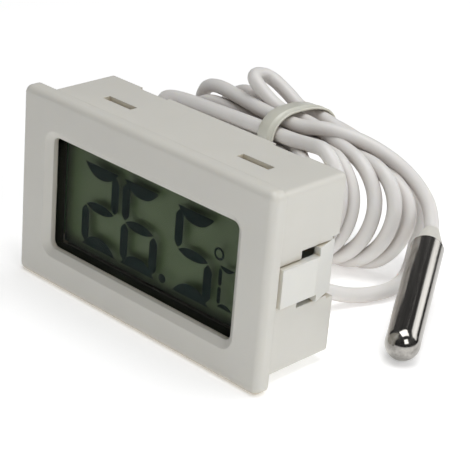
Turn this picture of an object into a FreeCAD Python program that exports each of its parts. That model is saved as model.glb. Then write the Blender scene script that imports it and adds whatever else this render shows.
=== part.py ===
import FreeCAD, Part
import Sketcher
import math
import os
import re

# Panel thermometer: a snap-in digital display with a steel probe on a coiled cord.
# Frame: +X to the right of the display, +Y from its face to its back, +Z up, and the origin
# under the middle of the device, on the surface it stands on. Depths in the formulas below
# are counted from the display's face; part() moves each finished piece into the frame.

V = FreeCAD.Vector

SIZES = [
    # bezel and shell
    ("bezelWidth", 48.0), ("bezelHeight", 28.6), ("bezelThick", 2.2), ("bezelRound", 1.0),
    ("cornerRound", 1.2), ("bodyWidth", 45.2), ("bodyHeight", 26.2), ("bodyRound", 0.8),
    ("totalDepth", 15.2), ("wall", 1.3), ("frontWall", 1.6), ("fitGap", 0.1),
    # window and its sloped rim
    ("windowWidth", 35.9), ("windowHeight", 17.0), ("windowDrop", 0.3), ("windowRound", 1.1),
    ("rimWidth", 1.05), ("rimDepth", 0.77),
    # snap slots in the top and bottom walls, and the hooks that fill them
    ("slotAcross", 13.0), ("slotWidth", 5.6), ("slotFront", 7.6), ("slotLong", 1.3),
    ("hookWidth", 5.0), ("hookThick", 1.0), ("hookTip", 0.7), ("pryDepth", 0.6),
    # panel clips
    ("clipFront", 3.7), ("clipStep", 7.9), ("clipCrease", 10.4), ("clipShoulder", 10.9),
    ("clipTongue", 5.5), ("clipRoot", 7.8), ("clipThick", 1.1), ("clipProud", 0.8),
    ("clipGap", 0.2),
    # display
    ("glassWidth", 37.0), ("glassHeight", 21.0), ("cellHeight", 17.4), ("glassThick", 1.1),
    ("filmThick", 0.2), ("zebraHigh", 1.5),
    # circuit board
    ("boardFront", 5.4), ("boardThick", 1.0), ("boardWidth", 42.0), ("boardHeight", 22.4),
    ("bossAcross", 19.9), ("bossUp", 9.6), ("bossRadius", 1.2), ("screwRadius", 0.55),
    ("screwHead", 1.1), ("blobRadius", 3.4), ("blobHigh", 1.1), ("blobAcross", 13.2),
    # battery compartment
    ("cellRadius", 5.8), ("cellThick", 5.4), ("cellApart", 12.1), ("doorAcross", -6.5),
    ("doorWidth", 25.6), ("doorHeight", 13.2), ("doorThick", 1.1), ("tubWall", 0.8),
    ("tubFloor", 0.6), ("contactThick", 0.25), ("contactDome", 0.15), ("bridgeThick", 0.2),
    ("coverThick", 1.6), ("ringProud", 0.8),
    # cord, tie and probe
    ("cordRadius", 1.15), ("cordAcross", 12.4), ("cordUp", 6.2), ("cordCollar", 0.9),
    ("probeRadius", 2.5), ("probeLength", 23.4), ("probeWall", 0.3), ("sealLong", 4.0),
    ("beadRadius", 0.9), ("tieAcross", -10.3), ("tieWidth", 3.4), ("tieThick", 0.7),
    ("bundleWide", 14.2), ("bundleHigh", 7.5), ("bundleBack", 43.9), ("bundleUp", 16.35),
]

doc = FreeCAD.newDocument("PanelThermometer")
sheet = doc.addObject("Spreadsheet::Sheet", "Sizes")
for row, (alias, number) in enumerate(SIZES, 1):
    sheet.set(f"A{row}", alias)
    sheet.set(f"B{row}", str(number))
    sheet.setAlias(f"B{row}", alias)
doc.recompute()
ALIASES = {alias for alias, _ in SIZES}

# Places that several pieces share, as formulas on the sheet's sizes.
MID = "(bezelHeight / 2)"
WINDOW_MID = "(bezelHeight / 2 - windowDrop)"
CAVITY_X = "(bodyWidth / 2 - wall)"
CAVITY_Z = "(bodyHeight / 2 - wall)"
BOARD_BACK = "(boardFront + boardThick)"
COVER_FRONT = "(totalDepth - coverThick)"
GLASS_FRONT = "(frontWall + fitGap / 2 + filmThick)"
LEDGE = "(frontWall + fitGap / 2 + filmThick + glassThick)"
DOOR_FRONT = "(totalDepth - doorThick)"
CELL_BACK = "(totalDepth - doorThick - bridgeThick)"
CELL_FRONT = "(totalDepth - doorThick - bridgeThick - cellThick)"
TUB_FLOOR = "(totalDepth - doorThick - bridgeThick - cellThick - contactDome - contactThick)"
TUB_WIDE = "(doorWidth + 2 * fitGap - 2 * tubWall)"
TUB_HIGH = "(doorHeight + 2 * fitGap - 2 * tubWall)"
CLIP_FACE = "(bodyWidth / 2 + clipProud)"
FRAME_BACK = "((totalDepth + ringProud) / 2)"

parts = []


# ---- helpers -------------------------------------------------------------------------

def sheetWords(formula):
    """The formula with each alias written as the sheet's cell."""
    return re.sub(r"[A-Za-z]\w*",
                  lambda m: "Sizes." + m.group() if m.group() in ALIASES else m.group(), formula)


def bind(thing, prop, formula):
    thing.setExpression(prop, sheetWords(str(formula)))


def size(formula):
    """The value that a formula has now."""
    return float(sheet.evalExpression(str(formula)))


def part(thing, label):
    """Marks a finished sub-part, under its file's name, and moves it into the frame."""
    bound = {path.lstrip("."): words for path, words in thing.ExpressionEngine}
    depth = bound.get("Placement.Base.y", str(thing.Placement.Base.y))
    thing.setExpression("Placement.Base.y", f"({depth}) - {sheetWords(FRAME_BACK)}")
    thing.Label = label
    parts.append(thing)


def block(name, xs, ys, zs):
    """A box between two formulas along each axis."""
    box = doc.addObject("Part::Box", name)
    for (low, high), prop, axis in ((xs, "Length", "x"), (ys, "Width", "y"), (zs, "Height", "z")):
        bind(box, prop, f"({high}) - ({low})")
        bind(box, "Placement.Base." + axis, low)
    return box


def about(middle, width):
    """The two ends of a stretch about its middle."""
    return f"({middle}) - ({width}) / 2", f"({middle}) + ({width}) / 2"


def rod(name, x, z, radius, ys):
    """A cylinder along Y between two formulas."""
    pin = doc.addObject("Part::Cylinder", name)
    pin.Placement = FreeCAD.Placement(V(), FreeCAD.Rotation(V(1, 0, 0), -90))
    bind(pin, "Radius", radius)
    bind(pin, "Height", f"({ys[1]}) - ({ys[0]})")
    for axis, formula in (("x", x), ("y", ys[0]), ("z", z)):
        bind(pin, "Placement.Base." + axis, formula)
    return pin


def fuse(name, things):
    if len(things) == 1:
        return things[0]
    joined = doc.addObject("Part::MultiFuse", name)
    joined.Shapes = things
    return joined


def cut(name, base, *tools):
    result = doc.addObject("Part::Cut", name)
    result.Base = base
    result.Tool = fuse(name + "Tools", list(tools))
    return result


def group(name, things):
    """Separate solids that share one file."""
    bundle = doc.addObject("Part::Compound", name)
    bundle.Links = things
    return bundle


def rounded(name, base, radius, pick):
    """A fillet on the edges that pick(edge) accepts."""
    doc.recompute()
    edges = [i for i, e in enumerate(base.Shape.Edges, 1) if pick(e)]
    if not edges:
        raise ValueError(name + " found no edge to round")
    soft = doc.addObject("Part::Fillet", name)
    soft.Base = base
    soft.Edges = [(i, size(radius), size(radius)) for i in edges]
    return soft


def isAlong(edge, axis):
    """Whether an edge is straight along an axis (0, 1 or 2)."""
    a, b = edge.Vertexes[0].Point, edge.Vertexes[-1].Point
    d = b - a
    return d.Length > 1e-6 and abs(abs(d[axis]) - d.Length) < 1e-6


# ---- PartDesign helpers --------------------------------------------------------------

def newBody(name):
    return doc.addObject("PartDesign::Body", name)


def rectangles(body, plane, name, shapes, offset="0"):
    """A sketch of upright rectangles, each (middle across, middle up, width, height)."""
    sketch = body.newObject("Sketcher::SketchObject", name)
    role = plane + "_Plane"
    face = [f for f in body.Origin.OriginFeatures if f.Role == role][0]
    sketch.AttachmentSupport = [(face, "")]
    sketch.MapMode = "FlatFace"
    bind(sketch, "AttachmentOffset.Base.z", offset)
    for n, (across, up, width, height) in enumerate(shapes):
        low = (size(f"({across}) - ({width}) / 2"), size(f"({up}) - ({height}) / 2"))
        high = (size(f"({across}) + ({width}) / 2"), size(f"({up}) + ({height}) / 2"))
        corners = [V(low[0], low[1], 0), V(high[0], low[1], 0),
                   V(high[0], high[1], 0), V(low[0], high[1], 0)]
        first = 4 * n
        for i in range(4):
            sketch.addGeometry(Part.LineSegment(corners[i], corners[(i + 1) % 4]))
        for i in range(4):
            sketch.addConstraint(Sketcher.Constraint("Coincident", first + i, 2,
                                                     first + (i + 1) % 4, 1))
            kind = "Horizontal" if i % 2 == 0 else "Vertical"
            sketch.addConstraint(Sketcher.Constraint(kind, first + i))
        sketch.addConstraint(Sketcher.Constraint("DistanceX", first, 1, first, 2, high[0] - low[0]))
        bind(sketch, f"Constraints[{sketch.ConstraintCount - 1}]", width)
        sketch.addConstraint(Sketcher.Constraint("DistanceY", first + 1, 1, first + 1, 2,
                                                 high[1] - low[1]))
        bind(sketch, f"Constraints[{sketch.ConstraintCount - 1}]", height)
        sketch.addConstraint(Sketcher.Constraint("DistanceX", -1, 1, first, 1, low[0]))
        bind(sketch, f"Constraints[{sketch.ConstraintCount - 1}]", f"({across}) - ({width}) / 2")
        sketch.addConstraint(Sketcher.Constraint("DistanceY", -1, 1, first, 1, low[1]))
        bind(sketch, f"Constraints[{sketch.ConstraintCount - 1}]", f"({up}) - ({height}) / 2")
    sketch.Visibility = False
    return sketch


def pad(body, sketch, name, length):
    """Adds material from an XZ sketch towards +Y."""
    feature = body.newObject("PartDesign::Pad", name)
    feature.Profile = sketch
    feature.Reversed = True
    bind(feature, "Length", length)
    return feature


def pocket(body, sketch, name, length, both=False):
    """Removes material from an XZ sketch towards +Y, or both ways from any sketch."""
    doc.recompute()
    before = body.Shape.Volume
    feature = body.newObject("PartDesign::Pocket", name)
    feature.Profile = sketch
    if both:
        feature.Midplane = True
    bind(feature, "Length", length)
    doc.recompute()
    if body.Shape.Volume > before - 1e-3:
        raise ValueError(name + " cuts nothing")
    return feature


def dress(body, kind, name, pick, **values):
    """A PartDesign fillet or chamfer on the edges that pick(edge) accepts."""
    doc.recompute()
    base = body.Tip
    names = [f"Edge{i}" for i, e in enumerate(base.Shape.Edges, 1) if pick(e)]
    if not names:
        raise ValueError(name + " found no edge")
    feature = body.newObject("PartDesign::" + kind, name)
    feature.Base = (base, names)
    for prop, formula in values.items():
        bind(feature, prop, formula)
    return feature


# ---- front housing -------------------------------------------------------------------

def frontHousing():
    body = newBody("FrontHousing")
    bezel = rectangles(body, "XZ", "BezelSketch", [("0", MID, "bezelWidth", "bezelHeight")])
    pad(body, bezel, "Bezel", "bezelThick")
    dress(body, "Fillet", "BezelCorners", lambda e: isAlong(e, 1), Radius="cornerRound")
    dress(body, "Fillet", "BezelFront",
          lambda e: e.BoundBox.YMax < 1e-6, Radius="bezelRound")
    shell = rectangles(body, "XZ", "ShellSketch", [("0", MID, "bodyWidth", "bodyHeight")],
                       "-bezelThick / 2")
    pad(body, shell, "Shell", "totalDepth - bezelThick / 2")
    thick, halfShell = size("bezelThick"), size("bodyWidth / 2")
    dress(body, "Fillet", "ShellCorners",
          lambda e: isAlong(e, 1) and e.BoundBox.YMin > thick - 1e-6
          and abs(abs(e.CenterOfMass.x) - halfShell) < 1e-6, Radius="bodyRound")
    hollow = rectangles(body, "XZ", "HollowSketch",
                        [("0", MID, f"2 * {CAVITY_X}", f"2 * {CAVITY_Z}")], "-frontWall")
    pocket(body, hollow, "Hollow", "totalDepth")
    window = rectangles(body, "XZ", "WindowSketch",
                        [("0", WINDOW_MID, "windowWidth", "windowHeight")])
    pocket(body, window, "Window", "frontWall * 2")
    halfWindow, middle = size("windowWidth / 2"), size(WINDOW_MID)

    def inWindow(e):
        return (abs(e.CenterOfMass.x) < halfWindow + 1e-3
                and abs(e.CenterOfMass.z - middle) < size("windowHeight / 2") + 1e-3)

    dress(body, "Fillet", "WindowCorners", lambda e: isAlong(e, 1) and inWindow(e),
          Radius="windowRound")
    rim = dress(body, "Chamfer", "WindowRim", lambda e: e.BoundBox.YMax < 1e-6 and inWindow(e),
                Size="rimWidth", Size2="rimDepth")
    rim.ChamferType = "Two distances"
    slotRows = [(f"{side} * slotAcross", "slotFront + slotLong / 2", "slotWidth", "slotLong")
                for side in (-1, 1)]
    pryRows = [(f"{side} * slotAcross", "totalDepth", "slotWidth", "2 * pryDepth")
               for side in (-1, 1)]
    pocket(body, rectangles(body, "XY", "SlotSketch", slotRows), "Slots", "4 * bezelHeight", True)
    pocket(body, rectangles(body, "XY", "PrySketch", pryRows), "Pries", "4 * bezelHeight", True)
    for name, start, high in (("Tongue", "clipFront - clipGap", "clipTongue"),
                              ("Root", "clipStep", "clipRoot"),
                              ("Corner", "totalDepth - 1.3", "clipRoot + 0.9")):
        opening = rectangles(body, "YZ", f"Clip{name}Sketch",
                             [(f"({start}) / 2 + totalDepth / 2 + 0.5", MID,
                               f"totalDepth + 1 - ({start})", f"{high} + 2 * clipGap")])
        pocket(body, opening, f"Clip{name}Window", "2 * bezelWidth", True)
    return body


def housing():
    """The moulded front: bezel, shell and the four screw bosses behind the window wall."""
    bosses = []
    for side in (-1, 1):
        for up in (-1, 1):
            x, z = f"{side} * bossAcross", f"{MID} + {up} * bossUp"
            post = rod("Post", x, z, "bossRadius", ("frontWall - fitGap", "boardFront"))
            pilot = rod("Pilot", x, z, "screwRadius", (LEDGE, "boardFront + 1"))
            bosses.append(cut("Boss", post, pilot))
    return fuse("Housing", [frontHousing()] + bosses)


part(housing(), "front_housing")


# ---- display stack -------------------------------------------------------------------

def sheetOf(name, width, height, start, thick, up=WINDOW_MID):
    """A flat plate across the window, start to start + thick in Y."""
    return block(name, about("0", width), (start, f"{start} + {thick}"), about(up, height))


part(sheetOf("FrontFilm", "glassWidth - 1", "cellHeight", "(frontWall + fitGap / 2)",
             "filmThick"), "lcd_front_film")
part(sheetOf("FrontGlass", "glassWidth", "glassHeight", GLASS_FRONT, "glassThick"),
     "lcd_front_glass")
part(sheetOf("RearGlass", "glassWidth", "cellHeight", LEDGE, "glassThick"), "lcd_rear_glass")
part(sheetOf("Reflector", "glassWidth - 1", "cellHeight - 1", f"{LEDGE} + glassThick",
             "filmThick"), "lcd_reflector")
for side, word in ((1, "upper"), (-1, "lower")):
    middle = f"{WINDOW_MID} + {side} * (glassHeight + cellHeight) / 4"
    part(block("Zebra", about("0", "windowWidth"), (LEDGE, "boardFront"),
               about(middle, "zebraHigh")), f"zebra_strip_{word}")


# ---- circuit board and what is on it --------------------------------------------------

def board():
    plate = block("BoardPlate", about("0", "boardWidth"), ("boardFront", BOARD_BACK),
                  about(MID, "boardHeight"))
    bites = []
    for side in (-1, 1):
        bites.append(block("ClipBite", about(f"{side} * boardWidth / 2", "2 * clipProud + 0.4"),
                           ("boardFront - 1", "boardFront + 3"),
                           about(MID, "clipRoot + 1.6")))
        for up in (-1, 1):
            bites.append(rod("ScrewHole", f"{side} * bossAcross", f"{MID} + {up} * bossUp",
                             "screwRadius + fitGap", ("boardFront - 1", "boardFront + 3")))
    return cut("Board", plate, *bites)


def screws():
    made = []
    for side in (-1, 1):
        for up in (-1, 1):
            x, z = f"{side} * bossAcross", f"{MID} + {up} * bossUp"
            shank = rod("Shank", x, z, "screwRadius", (f"{LEDGE} + 0.3", f"{BOARD_BACK} + 0.2"))
            head = rod("Head", x, z, "screwHead", (BOARD_BACK, f"{BOARD_BACK} + 0.7"))
            slot = block("DriverSlot", about(x, "2 * screwHead + 1"),
                         (f"{BOARD_BACK} + 0.45", f"{BOARD_BACK} + 1"), about(z, "0.35"))
            made.append(cut("Screw", fuse("ScrewSolid", [shank, head]), slot))
    return group("Screws", made)


def chips(name, places, long, high, tall):
    """Small block parts on the back of the board, at (across, up) places."""
    return group(name, [block("Chip", about(x, long), (BOARD_BACK, f"{BOARD_BACK} + {tall}"),
                              about(z, high)) for x, z in places])


def blob():
    """The black resin drop over the display chip: a shallow cap of a sphere."""
    ball = doc.addObject("Part::Sphere", "BlobBall")
    radius = "((blobRadius * blobRadius + blobHigh * blobHigh) / (2 * blobHigh))"
    bind(ball, "Radius", radius)
    bind(ball, "Placement.Base.x", "blobAcross")
    bind(ball, "Placement.Base.y", f"{BOARD_BACK} + blobHigh - {radius}")
    bind(ball, "Placement.Base.z", f"{MID} + 1.5")
    keep = block("BlobKeep", about("blobAcross", "4 * blobRadius"),
                 (BOARD_BACK, f"{BOARD_BACK} + 3"), about(f"{MID} + 1.5", "4 * blobRadius"))
    drop = doc.addObject("Part::Common", "Blob")
    drop.Base = ball
    drop.Tool = keep
    return drop


part(board(), "circuit_board")
part(screws(), "board_screws")
part(blob(), "chip_blob")
part(chips("Resistors", [("blobAcross + 5", f"{MID} + 5"), ("blobAcross + 5", f"{MID} + 7"),
                         ("blobAcross - 3.5", f"{MID} - 4.5")], "1.6", "0.8", "0.45"),
     "chip_resistors")
part(chips("Capacitors", [("blobAcross + 1", f"{MID} - 4.5"), ("blobAcross + 4.5", f"{MID} - 4.5")],
           "2", "1.25", "0.8"), "chip_capacitors")


# ---- rear cover, door and cells --------------------------------------------------------

def hook(side, up):
    """A cover arm along the top or bottom wall, with a nose that fills the wall's slot."""
    x = f"{side} * slotAcross"
    inner = f"{MID} + {up} * ({CAVITY_Z} - fitGap)"
    ends = [inner, f"{MID} + {up} * ({CAVITY_Z} - fitGap - hookThick)"]
    arm = block("HookArm", about(x, "hookWidth"), ("slotFront", f"{COVER_FRONT} + 0.2"),
                sorted(ends, key=size))
    tips = [f"{MID} + {up} * ({CAVITY_Z} - fitGap - 0.2)", f"{MID} + {up} * ({CAVITY_Z} + hookTip)"]
    nose = block("HookNose", about(x, "hookWidth"),
                 ("slotFront + fitGap", "slotFront + slotLong - fitGap"), sorted(tips, key=size))
    return [arm, nose]


def contactPlace(side):
    """Where a cell stands across the cover: its middle along X."""
    return f"doorAcross + {side} * cellApart / 2"


def rearCover():
    plate = block("CoverPlate", about("0", f"2 * {CAVITY_X} - 2 * fitGap"),
                  (COVER_FRONT, "totalDepth"), about(MID, f"2 * {CAVITY_Z} - 2 * fitGap"))
    tub = block("TubOuter", about("doorAcross", f"{TUB_WIDE} + 2 * tubWall"),
                (f"{TUB_FLOOR} - tubFloor", DOOR_FRONT), about(MID, f"{TUB_HIGH} + 2 * tubWall"))
    collar = rod("CordCollarRing", "cordAcross", "cordUp", "cordRadius + cordCollar",
                 (COVER_FRONT, "totalDepth + ringProud"))
    solids = [plate, tub, collar]
    for side in (-1, 1):
        for up in (-1, 1):
            solids += hook(side, up)
    cuts = [
        block("TubInner", about("doorAcross", TUB_WIDE), (TUB_FLOOR, "totalDepth + 1"),
              about(MID, TUB_HIGH)),
        block("DoorRecess", about("doorAcross", "doorWidth + 2 * fitGap"),
              (DOOR_FRONT, "totalDepth + 1"), about(MID, "doorHeight + 2 * fitGap")),
        rod("CordHole", "cordAcross", "cordUp", "cordRadius", (f"{COVER_FRONT} - 1", "totalDepth + 2")),
        rod("ThumbNotch", f"doorAcross + doorWidth / 2 + 1.4", MID, "2.4",
            ("totalDepth - 0.7", "totalDepth + 1")),
    ]
    for side in (-1, 1):
        cuts.append(block("RootBite", about(f"{side} * {CAVITY_X}", "2 * (clipThick - wall) + 0.8"),
                          (f"{COVER_FRONT} - 1", "totalDepth + 1"), about(MID, "clipRoot + 0.8")))
        cuts.append(block("LegSlot", about(f"{contactPlace(side)} + 3", "1.4"),
                          (f"{TUB_FLOOR} - 2", f"{TUB_FLOOR} + 0.5"), about(MID, "0.5")))
    return cut("RearCover", fuse("CoverSolid", solids), *cuts)


def batteryDoor():
    slab = block("DoorSlab", about("doorAcross", "doorWidth"), (DOOR_FRONT, "totalDepth"),
                 about(MID, "doorHeight"))
    doc.recompute()
    soft = rounded("DoorCorners", slab, "0.6", lambda e: isAlong(e, 1))
    grooves = [block("Grip", about(f"doorAcross + doorWidth / 2 - {back}", "0.5"),
                     ("totalDepth - 0.3", "totalDepth + 1"), about(MID, "6"))
               for back in (2.2, 3.4, 4.6)]
    return cut("BatteryDoor", soft, *grooves)


def buttonCell(side):
    """A cell's can and its smaller cap; the two cells face opposite ways."""
    x = contactPlace(side)
    if side < 0:
        can, cap = (CELL_FRONT, f"{CELL_BACK} - 0.4"), (f"{CELL_BACK} - 0.5", CELL_BACK)
    else:
        can, cap = (f"{CELL_FRONT} + 0.4", CELL_BACK), (CELL_FRONT, f"{CELL_FRONT} + 0.5")
    return fuse("ButtonCell", [rod("Can", x, MID, "cellRadius", can),
                               rod("Cap", x, MID, "cellRadius - 1.1", cap)])


def contact(side):
    """A plate on the compartment's floor with a domed middle and a leg to the board."""
    x = contactPlace(side)
    plate = block("ContactPlate", about(x, "7.4"), (TUB_FLOOR, f"{TUB_FLOOR} + contactThick"),
                  about(MID, "4.4"))
    dome = rod("ContactDome", x, MID, "1.3",
               (f"{TUB_FLOOR} + contactThick / 2", f"{TUB_FLOOR} + contactThick + contactDome"))
    leg = block("ContactLeg", about(f"{x} + 3", "1.1"), (BOARD_BACK, f"{TUB_FLOOR} + contactThick / 2"),
                about(MID, "contactThick"))
    return fuse("Contact", [plate, dome, leg])


part(rearCover(), "rear_cover")
part(batteryDoor(), "battery_door")
part(block("Bridge", about("doorAcross", "cellApart + 4"), (CELL_BACK, DOOR_FRONT), about(MID, "4.6")),
     "bridge_contact")
part(contact(-1), "positive_contact")
part(contact(1), "negative_contact")
part(buttonCell(-1), "button_cell_1")
part(buttonCell(1), "button_cell_2")


# ---- panel clips -----------------------------------------------------------------------

def clip(side):
    """A springy arm: flat and proud in front, sloping in to its root at the back."""
    face, back = size(CLIP_FACE), size("totalDepth") - 0.15
    thick, crease, shoulder = size("clipThick"), size("clipCrease"), size("clipShoulder")
    front, middle = size("clipFront"), size(MID)
    slopeIn = 1.35

    def arm(height, start):
        """The arm's outline seen from above, from start to its root."""
        outline = [V(face, start, 0), V(face, max(crease, start), 0), V(face - slopeIn, back, 0),
                   V(face - slopeIn - thick + 0.25, back, 0), V(face - thick, max(crease, start) - 0.2, 0),
                   V(face - thick, start, 0)]
        points = [p for i, p in enumerate(outline) if p.distanceToPoint(outline[i - 1]) > 1e-3]
        points = [V(p.x * side, p.y, middle - height / 2) for p in points]
        slab = Part.Face(Part.makePolygon(points + points[:1]))
        return slab.extrude(V(0, 0, height))

    tongue = arm(size("clipTongue"), front)
    wide = arm(size("clipRoot"), front).common(
        Part.makeBox(60, 20, 60, V(-30, shoulder, -10)))
    feature = doc.addObject("Part::Feature", "Clip")
    feature.Shape = tongue.fuse(wide).removeSplitter()
    return feature


part(clip(-1), "panel_clip_left")
part(clip(1), "panel_clip_right")


# ---- cord, tie and probe ---------------------------------------------------------------

# The cord where it isn't coiled: from inside the cover to the coil, and from the coil to the probe.
LEAD = [(12.4, size("totalDepth - 2.6"), 6.2), (12.4, size("totalDepth + 3.7"), 6.2),
        (12.2, 25.0, 3.6), (14.0, 30.4, 1.35), (16.0, 35.6, 1.2), (15.6, 40.6, 1.2),
        (13.4, 44.6, 2.2), (10.9, 46.8, 4.9)]
TAIL = [(10.9, 47.0, 14.2), (13.1, 47.1, 12.4), (15.2, 46.3, 10.6)]
MOUTH = (18.15, 42.25, 8.3)  # the middle of the probe's open end
NOSE = (29.1, 23.5, 2.62)  # the middle of the probe's round end
FLOOR_CLEAR = 1e-6


def routeWire(points, label):
    """Straight runs joined by tangent arcs, each arc as large as its two runs allow."""
    places = [V(*p) for p in points]
    edges, start, radii = [], places[0], []
    for a, b, c in zip(places, places[1:], places[2:]):
        back, on = (a - b).normalize(), (c - b).normalize()
        turn = math.pi - back.getAngle(on)
        reach = 0.45 * min(a.distanceToPoint(b), b.distanceToPoint(c))
        radius = reach / math.tan(turn / 2)
        radii.append(round(radius, 1))
        enter, leave = b + back * reach, b + on * reach
        middle = b + (back + on).normalize() * (radius / math.cos(turn / 2) - radius)
        edges += [Part.LineSegment(start, enter).toShape(), Part.Arc(enter, middle, leave).toShape()]
        start = leave
    edges.append(Part.LineSegment(start, places[-1]).toShape())
    print(label, "arc radii", radii)
    return Part.Wire(edges)


def tube(points, label):
    """A round tube along a route; its volume has to be its section times its length."""
    radius = size("cordRadius")
    path = routeWire(points, label)
    ring = Part.Wire(Part.makeCircle(radius, V(*points[0]), V(*points[1]) - V(*points[0])))
    solid = path.makePipeShell([ring], True, False)
    wanted = math.pi * radius ** 2 * path.Length
    if abs(solid.Volume / wanted - 1) > 0.02:
        raise ValueError(f"{label}: volume {solid.Volume:.2f}, and {wanted:.2f} was wanted")
    if solid.optimalBoundingBox().ZMin < -FLOOR_CLEAR:
        raise ValueError(f"{label} goes below the floor: {solid.optimalBoundingBox().ZMin:.3f}")
    print(label, "length", round(path.Length, 1), "lowest", round(solid.optimalBoundingBox().ZMin, 3))
    feature = doc.addObject("Part::Feature", label)
    feature.Shape = solid
    return feature


def stadium(y, low, high):
    """A closed outline in the plane y: two straight sides and a half circle at each end."""
    (x0, z0), (x1, z1) = low, high
    r = (z1 - z0) / 2
    top = Part.LineSegment(V(x0 + r, y, z1), V(x1 - r, y, z1)).toShape()
    right = Part.Arc(V(x1 - r, y, z1), V(x1, y, z0 + r), V(x1 - r, y, z0)).toShape()
    under = Part.LineSegment(V(x1 - r, y, z0), V(x0 + r, y, z0)).toShape()
    left = Part.Arc(V(x0 + r, y, z0), V(x0, y, z0 + r), V(x0 + r, y, z1)).toShape()
    return Part.Wire([top, right, under, left])


# The coil stands on its long side: low and short at the front, higher and longer behind.
COIL_FRONT = {"y": 28.8, "low": (-38.8, 0.0), "high": (0.6, 13.7), "limb": 3.6}
COIL_BACK = {"y": 50.4, "low": (-40.6, 0.0), "high": (14.4, 19.6), "limb": 4.4}


def coil():
    """The outer shape of the standing coil, with a waist where the tie holds it."""
    outer = [stadium(c["y"], c["low"], c["high"]) for c in (COIL_FRONT, COIL_BACK)]
    inner = [stadium(c["y"], (c["low"][0] + 2 * c["limb"], c["low"][1] + c["limb"]),
                     (c["high"][0] - 2 * c["limb"], c["high"][1] - 1.7 * c["limb"]))
             for c in (COIL_FRONT, COIL_BACK)]
    ring = Part.makeLoft(outer, True, True).cut(Part.makeLoft(inner, True, True))
    x, width = size("tieAcross"), size("tieWidth")
    gap = Part.makeBox(width, 40, 20, V(x - width / 2, 20, size("bundleUp - bundleHigh / 2") - 1.2))
    core = Part.makeBox(width, size("bundleWide"), size("bundleHigh"),
                        V(x - width / 2, size("bundleBack - bundleWide / 2"),
                          size("bundleUp - bundleHigh / 2")))
    core = core.makeFillet(2.2, [e for e in core.Edges if isAlong(e, 0)])
    feature = doc.addObject("Part::Feature", "Coil")
    feature.Shape = ring.cut(gap).fuse(core).removeSplitter()
    return feature


def twistTie():
    """A flat band round the bundle's upper limb."""
    inner = block("TieInner", about("tieAcross", "tieWidth"), about("bundleBack", "bundleWide"),
                  about("bundleUp", "bundleHigh"))
    outer = block("TieOuter", about("tieAcross", "tieWidth"),
                  about("bundleBack", "bundleWide + 2 * tieThick"),
                  about("bundleUp", "bundleHigh + 2 * tieThick"))
    softInner = rounded("TieInnerRound", inner, "2.2", lambda e: isAlong(e, 0))
    softOuter = rounded("TieOuterRound", outer, "2.2 + tieThick", lambda e: isAlong(e, 0))
    return cut("TwistTie", softOuter, softInner)


def probePlacement():
    """Local z = 0 is the probe's mouth, and z runs along it to its nose."""
    nose, mouth = V(*NOSE), V(*MOUTH)
    along = (nose - mouth).normalize()
    start = nose - along * size("probeLength - probeRadius")
    return FreeCAD.Placement(start, FreeCAD.Rotation(V(0, 0, 1), along))


def capsule(name, radius, start, end):
    """A cylinder from start to end along z, with a half ball on its end."""
    pin = doc.addObject("Part::Cylinder", name + "Rod")
    bind(pin, "Radius", radius)
    bind(pin, "Height", f"({end}) - ({start})")
    bind(pin, "Placement.Base.z", start)
    ball = doc.addObject("Part::Sphere", name + "Ball")
    bind(ball, "Radius", radius)
    bind(ball, "Placement.Base.z", end)
    return fuse(name, [pin, ball])


def plainRod(name, radius, start, end, x="0"):
    pin = doc.addObject("Part::Cylinder", name)
    bind(pin, "Radius", radius)
    bind(pin, "Height", f"({end}) - ({start})")
    bind(pin, "Placement.Base.x", x)
    bind(pin, "Placement.Base.z", start)
    return pin


def atProbe(thing):
    """Carries a piece built about the local z axis to where the probe lies."""
    doc.recompute()
    moved = doc.addObject("Part::Compound", thing.Name + "Placed")
    moved.Links = [thing]
    moved.Placement = probePlacement()
    return moved


def probe():
    noseEnd = "probeLength - probeRadius"
    hollow = "(probeRadius - probeWall)"
    sleeve = cut("Sleeve", capsule("SleeveOuter", "probeRadius", "0", noseEnd),
                 capsule("SleeveInner", hollow, "-1", noseEnd))
    bead = doc.addObject("Part::Sphere", "Bead")
    bind(bead, "Radius", "beadRadius")
    bind(bead, "Placement.Base.z", noseEnd)
    plug = plainRod("SealPlug", hollow, "0", "4")
    cone = doc.addObject("Part::Cone", "SealCone")
    bind(cone, "Radius1", "cordRadius + 0.1")
    bind(cone, "Radius2", "probeRadius - 0.1")
    bind(cone, "Height", "sealLong")
    bind(cone, "Placement.Base.z", "-sealLong")
    filler = plainRod("Filler", hollow, "4", f"{noseEnd} - 3")
    leads = group("BeadLeads", [plainRod("BeadLead", "0.15", f"{noseEnd} - 3",
                                         f"{noseEnd} - beadRadius + 0.15", x)
                                for x in ("-0.4", "0.4")])
    part(atProbe(sleeve), "probe_sleeve")
    part(atProbe(fuse("Seal", [plug, cone])), "probe_seal")
    part(atProbe(filler), "probe_filler")
    part(atProbe(bead), "thermistor_bead")
    part(atProbe(leads), "thermistor_leads")


def cordTail():
    """The cord from the coil to the seal's small end."""
    mouth = probePlacement()
    end = mouth.multVec(V(0, 0, -size("sealLong")))
    return tube(TAIL + [(end.x, end.y, end.z)], "cord_tail")


def sensorWires():
    """The cord's two cores, from its cut end inside the cover to the board."""
    return group("SensorWires", [rod("Core", f"cordAcross + {x}", "cordUp", "0.35",
                                     (BOARD_BACK, str(LEAD[0][1]))) for x in (-0.55, 0.55)])


def cordCollar():
    """The small tie round the cord, inside the cover, that stops it pulling out."""
    start = f"{COVER_FRONT} - 1.6"
    return cut("Collar", rod("CollarOuter", "cordAcross", "cordUp", "cordRadius + cordCollar",
                             (start, f"{COVER_FRONT} - 0.1")),
               rod("CollarInner", "cordAcross", "cordUp", "cordRadius",
                   (f"{start} - 1", f"{COVER_FRONT} + 1")))


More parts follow.
